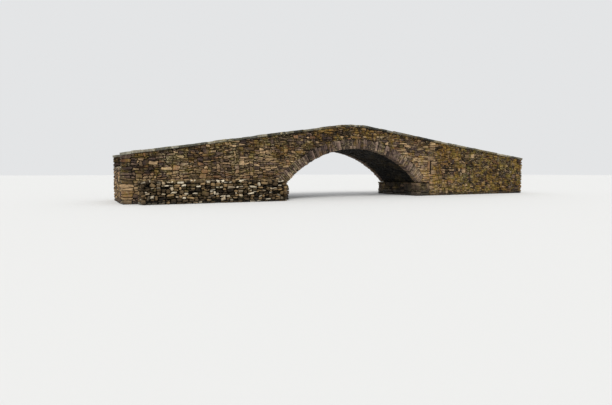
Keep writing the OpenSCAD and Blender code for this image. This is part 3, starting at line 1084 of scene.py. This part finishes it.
class BRIDGE_OT_stage(bpy.types.Operator):
    """Set up the camera, the lamps and the pale floor"""

    bl_idname = "bridge.stage"
    bl_label = "Set Stage"

    def execute(self, context):
        scene = context.scene
        scene.view_settings.view_transform = "Standard"
        camera = bpy.data.cameras.new("Camera")
        camera.sensor_width = SENSOR
        camera.lens = PHOTO_FOCUS / PHOTO_SIZE[0] * SENSOR
        camera.clip_end = 500.0
        eye = bpy.data.objects.new("Camera", camera)
        eye.location = Vector((M.mid_x, M.mid_y, 0.0)) + Vector(CAMERA_PLACE)
        down = math.atan((PHOTO_SIZE[1] / 2 - PHOTO_HORIZON) / PHOTO_FOCUS)
        eye.rotation_euler = (math.pi / 2 - down, 0.0, -math.radians(CAMERA_HEADING))
        scene.collection.objects.link(eye)
        scene.camera = eye

        sun = bpy.data.lights.new("Soft sun", "SUN")
        sun.energy = 2.1
        sun.angle = math.radians(35)
        sun.color = (1.0, 0.985, 0.96)
        lamp = bpy.data.objects.new("Soft sun", sun)
        lamp.rotation_euler = (math.radians(42), math.radians(-18), math.radians(-12))
        scene.collection.objects.link(lamp)

        world = bpy.data.worlds.new("Studio")
        world.use_nodes = True
        world.node_tree.nodes.clear()
        g = Graph(world.node_tree)
        path = g.add("ShaderNodeLightPath")
        seen = g.math("MAXIMUM", path.outputs["Is Camera Ray"], path.outputs["Is Glossy Ray"])
        colour = g.mix(seen, (0.74, 0.75, 0.77), (0.86, 0.87, 0.88))
        backdrop = g.out("ShaderNodeBackground", {"Color": colour, "Strength": 0.9})
        g.add("ShaderNodeOutputWorld", {0: backdrop})
        scene.world = world

        floor_mesh = bpy.data.meshes.new("Floor")
        corners = [(x * FLOOR_REACH, y * FLOOR_REACH, 0.0) for x, y in ((-1, -1), (1, -1), (1, 1), (-1, 1))]
        floor_mesh.from_pydata(corners, [], [(0, 1, 2, 3)])
        floor = bpy.data.objects.new("Floor", floor_mesh)
        scene.collection.objects.link(floor)
        plain = bpy.data.materials.new("Pale floor")
        plain.use_nodes = True
        shader = plain.node_tree.nodes["Principled BSDF"]
        shader.inputs["Base Color"].default_value = (*scene.bridge_colours.floor, 1.0)
        shader.inputs["Roughness"].default_value = 0.9
        floor_mesh.materials.append(plain)
        return {"FINISHED"}


# Size of the wall stones left and right of the upright joint, where the usual is 1: length and height
LEFT_STONES = (1.2, 0.93)
RIGHT_STONES = (0.9, 1.0)
# How far beds reach below the ground and over the crest before they are cut to them, and how far the
# stones that face the road stop short of the ends
BELOW_GROUND = 0.12
OVER_CREST = 0.1
INNER_SHORT = 0.3
# The least length of a corner stone, and the height of the tallest beds, where the usual is 1
CORNER_STONE = 0.4
TALLEST_WALL = 2.7
# Left of this place more stones are purple-brown, which are the ones of low kind
PURPLE_FROM = -3.0
# Tone and kind of the quoin, the two lintels and the crown's slab
MARKED_LOOKS = ((0.7, 0.9), (0.75, 0.2), (0.2, 0.15), (0.85, 0.97))


def lay_walls(sizes, face, piles):
    """Lays the outer stones of one face, each in the pile of its plain piece."""
    rng = random.Random("wall " + face)
    y, out, seed = (M.front, -1, 3.0) if face == "front" else (M.back, 1, 17.0)
    ends = (-M.left_end, M.joint_x, M.right_end)
    slot, marked = marked_beds(sizes)
    kept_free = (slot, *marked) if face == "front" else ()
    for start, end in zip(ends, ends[1:]):
        long, tall = LEFT_STONES if start < 0 else RIGHT_STONES
        beds = lay_courses(rng, (start, -BELOW_GROUND), (end, M.crest_z + OVER_CREST),
                           long * sizes.wall_length, tall * sizes.wall_height, CORNER_STONE, TALLEST_WALL)
        for bed in beds:
            poly = trim_to_wall(wander(bed, seed, ends))
            for free in kept_free if poly else ():
                poly = clear_of_bed(poly, free)
            if not poly or face_area(poly) < LEAST_FACE:
                continue
            if face_area(poly) < LOST_FACE and rng.random() < LOST_SHARE:
                continue
            u, v = middle(poly)
            along = [point[0] for point in poly]
            at_end = min(along) < NEAR - M.left_end or max(along) > M.right_end - NEAR
            depth = M.front_inner - M.front if at_end else STONE_DEPTH
            tone = weathered_and_shaded_tone(rng, u, v)
            kind = rng.random() ** (1.6 if u < PURPLE_FROM else 1.0)
            pile = piles.setdefault(wall_node(face, u, v), Pile())
            pile.stone(rng, on_face(y, out), poly, depth, joint=sizes.wall_joint, rise=sizes.stone_rise,
                       flip=out > 0, tone=tone, kind=kind)
    if face == "front":
        for (left, foot, right, head), (tone, kind) in zip(marked, MARKED_LOOKS):
            bed = [(left, foot), (right, foot), (right, head), (left, head)]
            pile = piles.setdefault(wall_node(face, *middle(bed)), Pile())
            pile.stone(rng, on_face(y, out), bed, joint=0.5 * sizes.wall_joint, corner=0.012,
                       tone=tone, kind=kind)


def lay_inner_parapet(sizes, face, piles):
    """The stones of a parapet's face towards the road."""
    rng = random.Random("inner " + face)
    y, out, seed = (M.front_inner, 1, 43.0) if face == "front" else (M.back_inner, -1, 29.0)
    low_z = min(M.top(-M.left_end), M.top(M.right_end)) - M.parapet_h
    ends = (-M.left_end + INNER_SHORT, M.right_end - INNER_SHORT)
    beds = lay_courses(rng, (ends[0], low_z), (ends[1], M.crest_z + OVER_CREST), sizes.wall_length,
                       sizes.wall_height)
    for bed in beds:
        bed = wander(bed, seed, ends)
        u, v = middle(bed)
        slope = M.slope(u)
        poly = clip(bed, (-slope, 1.0), M.top(u) - M.coping_t - slope * u)
        poly = clip(poly, (slope, -1.0), slope * u - M.top(u) + M.parapet_h + 0.03)
        if len(poly) > 2 and face_area(poly) > LEAST_FACE:
            pile = piles[f"{face}_{M.part(u)}_parapet"]
            pile.stone(rng, on_face(y, out), poly, joint=sizes.wall_joint, rise=sizes.stone_rise,
                       flip=out > 0)


class BRIDGE_OT_walls(bpy.types.Operator):
    """Lay the rubble of the spandrel walls, wing walls, parapets and abutments"""

    bl_idname = "bridge.walls"
    bl_label = "Lay Walls"

    def execute(self, context):
        sizes = context.scene.bridge_sizes
        piles = {}
        for face in ("front", "back"):
            lay_walls(sizes, face, piles)
            lay_inner_parapet(sizes, face, piles)
        outer = [(0, M.mid_x - M.left_end, JOINT_DEPTH), (0, M.mid_x + M.right_end, -JOINT_DEPTH),
                 (1, M.front, JOINT_DEPTH), (1, M.back, -JOINT_DEPTH)]
        inner = [(1, M.front_inner, -JOINT_DEPTH), (1, M.back_inner, JOINT_DEPTH)]
        for node, pile in piles.items():
            pile.filling(node, outer + inner if "parapet" in node else outer)
            finish_piece(pile.piece(node + "_stones", ["wall", "joint"]), node)
        return {"FINISHED"}


# How stones are worn: cut corners, steps along their sides, relief and rounded edges, in metres
RING_WEAR = {"corner": 0.014, "step": 0.13, "rise": 0.02, "edge": 0.011}
SOFFIT_WEAR = {"corner": 0.014, "step": 0.3, "rise": 0.016, "edge": 0.01}
# An arch stone's thickness, where the usual is 1: the least, the most and the likeliest
RING_THICK = (0.45, 2.1, 0.8)
# How far its foot lies from the arch's underside, and its head from the ring's back, as drawn by chance
RING_FOOT = (-0.018, 0.014)
RING_HEAD = (-0.09, 0.07, 0.03)
# How dark the ring's thirds are: the crown is damp, and the right haunch is washed pale
RING_DARKNESS = {"left": 1.0, "crown": 1.7, "right": 0.55}
# The share of ring stones that are in two lengths, and where these meet, as a share of the ring
SPLIT_SHARE = 0.5
SPLIT_AT = (0.3, 0.7)
# How much a joint of the ring leans and a stone's ends slope, at the most
RING_LEAN = 0.012
# Usual length of a stone under the arch
SOFFIT_LENGTH = 0.34


def ring_beds(rng, sizes):
    """The arch stones' beds from one springing to the other, through the ring or in two lengths."""
    reach = M.spring_angle * M.arch_r
    at = -reach
    lean = 0.0
    while at < reach - NEAR:
        thick = sizes.ring_stone * rng.triangular(*RING_THICK)
        if reach - at - thick < 0.5 * sizes.ring_stone:
            thick = reach - at
        next_lean = rng.uniform(-RING_LEAN, RING_LEAN) if at + thick < reach else 0.0
        low, high = rng.uniform(*RING_FOOT), M.ring_depth + rng.triangular(*RING_HEAD)
        split = M.ring_depth * rng.uniform(*SPLIT_AT)
        spans = ((low, split), (split, high)) if rng.random() < SPLIT_SHARE else ((low, high),)
        for foot, head in spans:
            # Each joint leans about the ring's middle
            low_turn, high_turn = 2 * foot / M.ring_depth - 1, 2 * head / M.ring_depth - 1
            skew = rng.uniform(-RING_LEAN, RING_LEAN)
            yield [(at + lean * low_turn, foot - skew), (at + thick + next_lean * low_turn, foot + skew),
                   (at + thick + next_lean * high_turn, head + skew), (at + lean * high_turn, head - skew)]
        at += thick
        lean = next_lean


class BRIDGE_OT_arch(bpy.types.Operator):
    """Set the stones of the arch's two rings and of its underside"""

    bl_idname = "bridge.arch"
    bl_label = "Turn Arch"

    def execute(self, context):
        sizes = context.scene.bridge_sizes
        for face, y, out in (("front", M.front, -1), ("back", M.back, 1)):
            rng = random.Random("ring " + face)
            piles = {part: Pile() for part in RING_DARKNESS}
            for bed in ring_beds(rng, sizes):
                part = M.arch_part(middle(bed)[0])
                piles[part].stone(rng, on_ring(y, out), bed, M.front_inner - M.front, sizes.ring_joint,
                                  flip=out > 0, tone=rng.random() ** RING_DARKNESS[part], **RING_WEAR)
            for part, pile in piles.items():
                node = f"{face}_{part}_arch_ring"
                pile.filling(node, [(1, y, -out * JOINT_DEPTH)], JOINT_DEPTH)
                finish_piece(pile.piece(node + "_stones", ["ring", "joint"]), node)

        rng = random.Random("soffit")
        across, along = M.back_inner - M.mid_y, 3 * M.third()
        piles = {part: Pile() for part in RING_DARKNESS}
        for bed in lay_courses(rng, (-across, -along), (across, along), SOFFIT_LENGTH, sizes.ring_stone):
            bed = wander(bed, 51.0, (), 0.45)
            for normal, reach in (((0.0, 1.0), along), ((0.0, -1.0), along), ((1.0, 0.0), across),
                                  ((-1.0, 0.0), across)):
                bed = clip(bed, normal, reach)
            if len(bed) > 2:
                pile = piles[M.arch_part(middle(bed)[1])]
                pile.stone(rng, on_soffit, bed, joint=sizes.ring_joint, **SOFFIT_WEAR)
        for part, pile in piles.items():
            node = f"{part}_arch_barrel"
            pile.filling(node, (), JOINT_DEPTH)
            # The underside's stones take the colours of painted shade
            finish_piece(pile.piece(node + "_stones", ["soffit", "gap"]), node)
        return {"FINISHED"}


# A plinth block's wear, in the same terms as an arch stone's
PLINTH_WEAR = {"corner": 0.05, "step": 0.16, "rise": 0.03, "edge": 0.028}
# Height of a plinth's course, width of its joints, and depth of the blocks on its sides and to the river
PLINTH_COURSE = 0.24
PLINTH_JOINT = 0.018
PLINTH_DEPTH = 0.3
PLINTH_LEDGE = 0.34


class BRIDGE_OT_plinths(bpy.types.Operator):
    """Set the big blocks of the two plinths"""

    bl_idname = "bridge.plinths"
    bl_label = "Set Plinths"

    def execute(self, context):
        length = context.scene.bridge_sizes.plinth_stone
        half = M.back - M.mid_y
        for side, sign in (("left", -1), ("right", 1)):
            rng = random.Random("plinth " + side)
            pile = Pile()
            river_x = M.mid_x + sign * M.plinth_x
            near, far = sorted((sign * (M.plinth_x + PLINTH_LEDGE), sign * M.joint_x))
            faces = ((on_river_face(river_x, sign), -half, half, PLINTH_LEDGE, sign),
                     (on_face(M.front, -1), near, far, PLINTH_DEPTH, -1),
                     (on_face(M.back, 1), near, far, PLINTH_DEPTH, 1))
            for place, start, end, depth, out in faces:
                for bed in lay_courses(rng, (start, 0.0), (end, M.spring_z), length, PLINTH_COURSE):
                    bed = clip(bed, (0.0, 1.0), M.spring_z)
                    pile.stone(rng, place, bed, depth, PLINTH_JOINT, flip=out > 0, **PLINTH_WEAR)
            node = side + "_plinth"
            pile.filling(node, [(0, river_x, sign * JOINT_DEPTH), (1, M.front, JOINT_DEPTH),
                                (1, M.back, -JOINT_DEPTH), (2, M.spring_z, -JOINT_DEPTH)])
            finish_piece(pile.piece(node + "_stones", ["plinth", "gap"]), node)
        return {"FINISHED"}


# Places along the bridge of the two palest coping slabs, and how near to one a slab is pale
PALE_SLABS = (6.6, 12.1)
PALE_NEAR = 0.4
# A slab's length, where the usual is 1, and its thickness and width, as shares of the plain coping's
SLAB_LENGTH = (0.55, 1.6, 0.95)
SLAB_THICK = (0.82, 1.06)
SLAB_WIDE = (0.93, 1.04)
# The share of the usual length that slabs have on the rounded crest
CREST_SLABS = 0.6
# The joint between two slabs
SLAB_JOINT = 0.008
# The filling under the copings, as a share of their width, and how far it is lowered
COPING_CORE = 0.72
COPING_SUNK = 0.06


def slab_tone(rng, u):
    """A coping slab's tone: paler towards the left end, and palest in two places on the right."""
    pale = 0.6 * max(0.0, min(1.0, (-u - 6.0) / 4.0))
    if min(abs(u - place) for place in PALE_SLABS) < PALE_NEAR:
        pale += 0.7
    return min(1.0, rng.random() * 0.6 + pale)


class BRIDGE_OT_copings(bpy.types.Operator):
    """Bed the flat coping slabs on the parapets"""

    bl_idname = "bridge.copings"
    bl_label = "Bed Copings"

    def execute(self, context):
        length = context.scene.bridge_sizes.coping_length
        wide = M.front_inner - M.front + 2 * M.coping_over
        ends = [(0, M.mid_x - M.left_end, JOINT_DEPTH), (0, M.mid_x + M.right_end, -JOINT_DEPTH)]
        for face, y in (("front", (M.front + M.front_inner) / 2), ("back", (M.back + M.back_inner) / 2)):
            rng = random.Random("coping " + face)
            for part, start, end in M.road_parts():
                beds = Beds()
                usual = length if part != "crest" else CREST_SLABS * length
                at = start
                while at < end - NEAR:
                    long = usual * rng.triangular(*SLAB_LENGTH)
                    if end - at - long < 0.5 * usual:
                        long = end - at
                    u = at + long / 2
                    slope = math.atan(M.slope(u))
                    thick = M.coping_t * rng.uniform(*SLAB_THICK)
                    lift = M.top(u) - M.coping_t + thick / 2 + rng.uniform(-0.004, 0.004)
                    turn = (rng.gauss(0, 0.02), -slope + rng.gauss(0, 0.008), rng.gauss(0, 0.012))
                    size = (long / math.cos(slope) - SLAB_JOINT, wide * rng.uniform(*SLAB_WIDE), thick)
                    place = (M.mid_x + u, y + rng.uniform(-0.014, 0.014), lift)
                    beds.add(place, turn, size, slab_tone(rng, u), rng.random())
                    at += long
                node = f"{face}_{part}_coping"
                pile = Pile()
                pile.filling(node, ends)
                pile.lower(COPING_SUNK, y, COPING_CORE)
                thing = beds.piece(node + "_slabs", "Coping slab", pile, ["coping", "joint"],
                                   roughness=0.03, grain=5.0, seed=len(beds.rows))
                finish_piece(thing, node)
        return {"FINISHED"}


# Turns of stones that lie flat and of stones that face along the bridge
FLAT = (math.pi / 2, 0, 0)
ENDWAYS = (0, 0, math.pi / 2)
# The height of the tallest beds of field stones, where the usual is 1. Then a stone's size, as shares
# of its bed's length, of the usual thickness and of its bed's height
TALLEST_FIELD = 3.0
FIELD_LONG = 0.9
FIELD_THICK = (0.6, 1.15)
FIELD_TALL = 0.87


def lay_field_stones(beds, rng, low, high, length, height, place, turn, thick, clean_and_lit=1.0, lost=0.0):
    """Adds rough stones packed over a rectangle. place gives a bed's middle, a little behind the face.

    The stones' cleanness is 1 where the weather washes them, and less deep in the wall, where they are
    unwashed and their darkness also stands as painted shade in the gaps between the outer stones. lost is
    the share that fell out."""
    for left, foot, right, head in lay_beds(rng, low, high, length, height, tallest=TALLEST_FIELD):
        head = min(head, high[1])
        long, tall = right - left, head - foot
        if rng.random() < lost:
            continue
        size = (long * FIELD_LONG, thick * rng.uniform(*FIELD_THICK), tall * FIELD_TALL)
        # A long stone tips less, so that it stays in its bed
        tilt = (rng.gauss(0, 0.15), rng.gauss(0, 0.22) * min(1.0, 1.4 * tall / long), rng.gauss(0, 0.15))
        # The thin stones are the ones that the weather has washed palest
        washed = rng.random() ** (0.7 if tall < height else 2.0) * clean_and_lit
        # Deep in the wall the tone and kind are lowered: unwashed stone, and painted shade in the gaps
        # between the outer stones
        beds.add(place((left + right) / 2, (foot + head) / 2), [a + b for a, b in zip(turn, tilt)], size,
                 rng.random() ** 0.8 * clean_and_lit, washed)


# The river wall's outer and inner stones: how far in, how large, how clean and lit (the inner ones darker,
# as unwashed stone and as painted shade in the gaps), and the share that fell out
RIVER_LAYERS = ((0.11, 1.0, 1.0, 0.1), (0.27, 0.8, 0.3, 0.0))
# Height of its beds, thickness of its stones, and how far its filling is drawn in
RIVER_COURSE = 0.105
RIVER_THICK = 0.28
RIVER_INSET = 0.2
# Width of the strips of flat stones on its top, and these stones' size across, depth and thickness
RIVER_TOP = 0.45
RIVER_TOP_STONE = 0.22
RIVER_TOP_SUNK = 0.07
RIVER_TOP_THICK = 0.16
# The rubble behind it: size along and across, how far its stones and filling lie down, and thickness
BACKING_LONG = 0.2
BACKING_WIDE = 0.15
BACKING_SUNK = 0.05
BACKING_THICK = 0.13


class BRIDGE_OT_river_wall(bpy.types.Operator):
    """Stack the dry stones of the river wall and pack the rubble behind it"""

    bl_idname = "bridge.river_wall"
    bl_label = "Stack River Wall"

    def execute(self, context):
        length = context.scene.bridge_sizes.field_stone
        low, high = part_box("river_wall")
        rng = random.Random("river wall")
        beds = Beds()
        for sunk, size, clean_and_lit, lost in RIVER_LAYERS:
            long, tall = size * length, size * RIVER_COURSE
            top = high[2] - min(sunk, 0.2) / 2
            lay_field_stones(beds, rng, (low[0] + sunk / 3, 0.0), (high[0] - sunk / 3, top), long, tall,
                             lambda u, v: (u, low[1] + sunk, v), (0, 0, 0), RIVER_THICK, clean_and_lit, lost)
            for x, out in ((low[0], 1), (high[0], -1)):
                lay_field_stones(beds, rng, (low[1] + 0.1, 0.0), (high[1], top), long, tall,
                                 lambda u, v: (x + out * sunk, u, v), ENDWAYS, RIVER_THICK, clean_and_lit, lost)
        strips = [((low[0], low[1]), (high[0], low[1] + RIVER_TOP))]
        for start in (low[0], high[0] - RIVER_TOP):
            strips.append(((start, low[1] + RIVER_TOP), (start + RIVER_TOP, high[1])))
        for near, far in strips:
            lay_field_stones(beds, rng, near, far, length, RIVER_TOP_STONE,
                             lambda u, v: (u, v, high[2] - RIVER_TOP_SUNK), FLAT, RIVER_TOP_THICK)
        pile = Pile()
        pile.filling("river_wall", [(0, low[0], RIVER_INSET), (0, high[0], -RIVER_INSET),
                                    (1, low[1], RIVER_INSET), (2, high[2], -RIVER_INSET)])
        thing = beds.piece("river_wall_stones", "Field stone", pile, ["river", "gap"], roughness=0.04,
                           grain=4.0, seed=3)
        finish_piece(thing, "river_wall")

        low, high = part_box("river_wall_backing")
        beds = Beds()
        lay_field_stones(beds, rng, (low[0], low[1]), (high[0], high[1]), BACKING_LONG, BACKING_WIDE,
                         lambda u, v: (u, v, high[2] - BACKING_SUNK), FLAT, BACKING_THICK)
        pile = Pile()
        pile.filling("river_wall_backing", [(2, high[2], -BACKING_SUNK)])
        thing = beds.piece("river_wall_backing_stones", "Field stone", pile, ["rubble", "gap"],
                           roughness=0.03, grain=5.0, seed=4)
        finish_piece(thing, "river_wall_backing")
        return {"FINISHED"}


# The rubble at a ramp's end: size across and up, how far its stones and filling lie in, and thickness
CORE_LONG = 0.22
CORE_COURSE = 0.12
CORE_SUNK = 0.07
CORE_THICK = 0.2


class BRIDGE_OT_core(bpy.types.Operator):
    """Pack the rubble that shows at the ends of the two ramps, and finish the fill inside"""

    bl_idname = "bridge.core"
    bl_label = "Pack Core"

    def execute(self, context):
        for side, x, out in (("left", M.mid_x - M.left_end, 1), ("right", M.mid_x + M.right_end, -1)):
            node = side + "_ramp_fill"
            low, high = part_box(node)
            rng = random.Random("core " + side)
            top = M.top(x - M.mid_x) - M.parapet_h
            beds = Beds()
            lay_field_stones(beds, rng, (low[1], 0.0), (high[1], top), CORE_LONG, CORE_COURSE,
                             lambda u, v: (x + out * CORE_SUNK, u, v), ENDWAYS, CORE_THICK)
            pile = Pile()
            pile.filling(node, [(0, x, out * CORE_SUNK)])
            thing = beds.piece(node + "_stones", "Field stone", pile, ["rubble", "gap"],
                               roughness=0.03, grain=5.0, seed=5)
            finish_piece(thing, node)
        inside = frame["nodes"]["arch_fill"].data.materials
        for index in range(len(inside)):
            inside[index] = finish("grit")
        return {"FINISHED"}


# A course of road stones: its width along the bridge, the least that is laid, and the stones' thickness
ROAD_COURSE = 0.15
LEAST_SETT = 0.04
SETT_THICK = 0.09
# The joint between two road stones, and how far stones and grit lie below the road's plain surface
SETT_JOINT = 0.004
SETT_SUNK = 0.035
GRIT_SUNK = 0.022


class BRIDGE_OT_road(bpy.types.Operator):
    """Pitch the road with worn stones in packed grit"""

    bl_idname = "bridge.road"
    bl_label = "Pitch Road"

    def execute(self, context):
        length = context.scene.bridge_sizes.sett_length
        for part, start, end in M.road_parts():
            rng = random.Random("road " + part)
            beds = Beds()
            laid = lay_beds(rng, (M.front_inner, start), (M.back_inner, end), length, ROAD_COURSE)
            for left, foot, right, head in laid:
                head = min(head, end)
                if head - foot < LEAST_SETT:
                    continue
                y, u = (left + right) / 2, (foot + head) / 2
                slope = math.atan(M.slope(u))
                place = (M.mid_x + u, y, M.top(u) - M.parapet_h - SETT_SUNK + rng.gauss(0, 0.004))
                turn = (rng.gauss(0, 0.04), -slope + rng.gauss(0, 0.04), rng.gauss(0, 0.05))
                size = (head - foot - SETT_JOINT, right - left - SETT_JOINT, SETT_THICK)
                beds.add(place, turn, size, rng.random(), rng.random())
            node = part + "_roadway"
            pile = Pile()
            pile.filling(node)
            pile.lower(GRIT_SUNK)
            thing = beds.piece(node + "_stones", "Road stone", pile, ["sett", "grit"],
                               roughness=0.02, grain=7.0, seed=6)
            finish_piece(thing, node)
        return {"FINISHED"}


class BRIDGE_PT_panel(bpy.types.Panel):
    """The bridge's steps in the sidebar"""

    bl_idname = "BRIDGE_PT_panel"
    bl_label = "Packhorse Bridge"
    bl_space_type = "VIEW_3D"
    bl_region_type = "UI"
    bl_category = "Bridge"

    def draw(self, context):
        for step in STEPS:
            self.layout.operator(step.bl_idname)
        for group in (context.scene.bridge_sizes, context.scene.bridge_colours):
            for name in group.bl_rna.properties.keys():
                if name not in ("rna_type", "name"):
                    self.layout.prop(group, name)


STEPS = (BRIDGE_OT_stage, BRIDGE_OT_walls, BRIDGE_OT_arch, BRIDGE_OT_plinths, BRIDGE_OT_copings,
         BRIDGE_OT_river_wall, BRIDGE_OT_core, BRIDGE_OT_road)
CLASSES = (BridgeSizes, BridgeColours, *STEPS, BRIDGE_PT_panel)


def register():
    for each in CLASSES:
        bpy.utils.register_class(each)
    bpy.types.Scene.bridge_sizes = PointerProperty(type=BridgeSizes)
    bpy.types.Scene.bridge_colours = PointerProperty(type=BridgeColours)


def unregister():
    del bpy.types.Scene.bridge_colours
    del bpy.types.Scene.bridge_sizes
    for each in reversed(CLASSES):
        bpy.utils.unregister_class(each)


def main():
    register()
    bpy.ops.bridge.stage()
    bpy.ops.bridge.walls()
    bpy.ops.bridge.arch()
    bpy.ops.bridge.plinths()
    bpy.ops.bridge.copings()
    bpy.ops.bridge.river_wall()
    bpy.ops.bridge.core()
    bpy.ops.bridge.road()
    for kind in KINDS:
        collection = bpy.data.collections[kind]
        for thing in list(collection.objects):
            bpy.data.objects.remove(thing)
        bpy.data.collections.remove(collection)


if __name__ == "__main__":
    main()
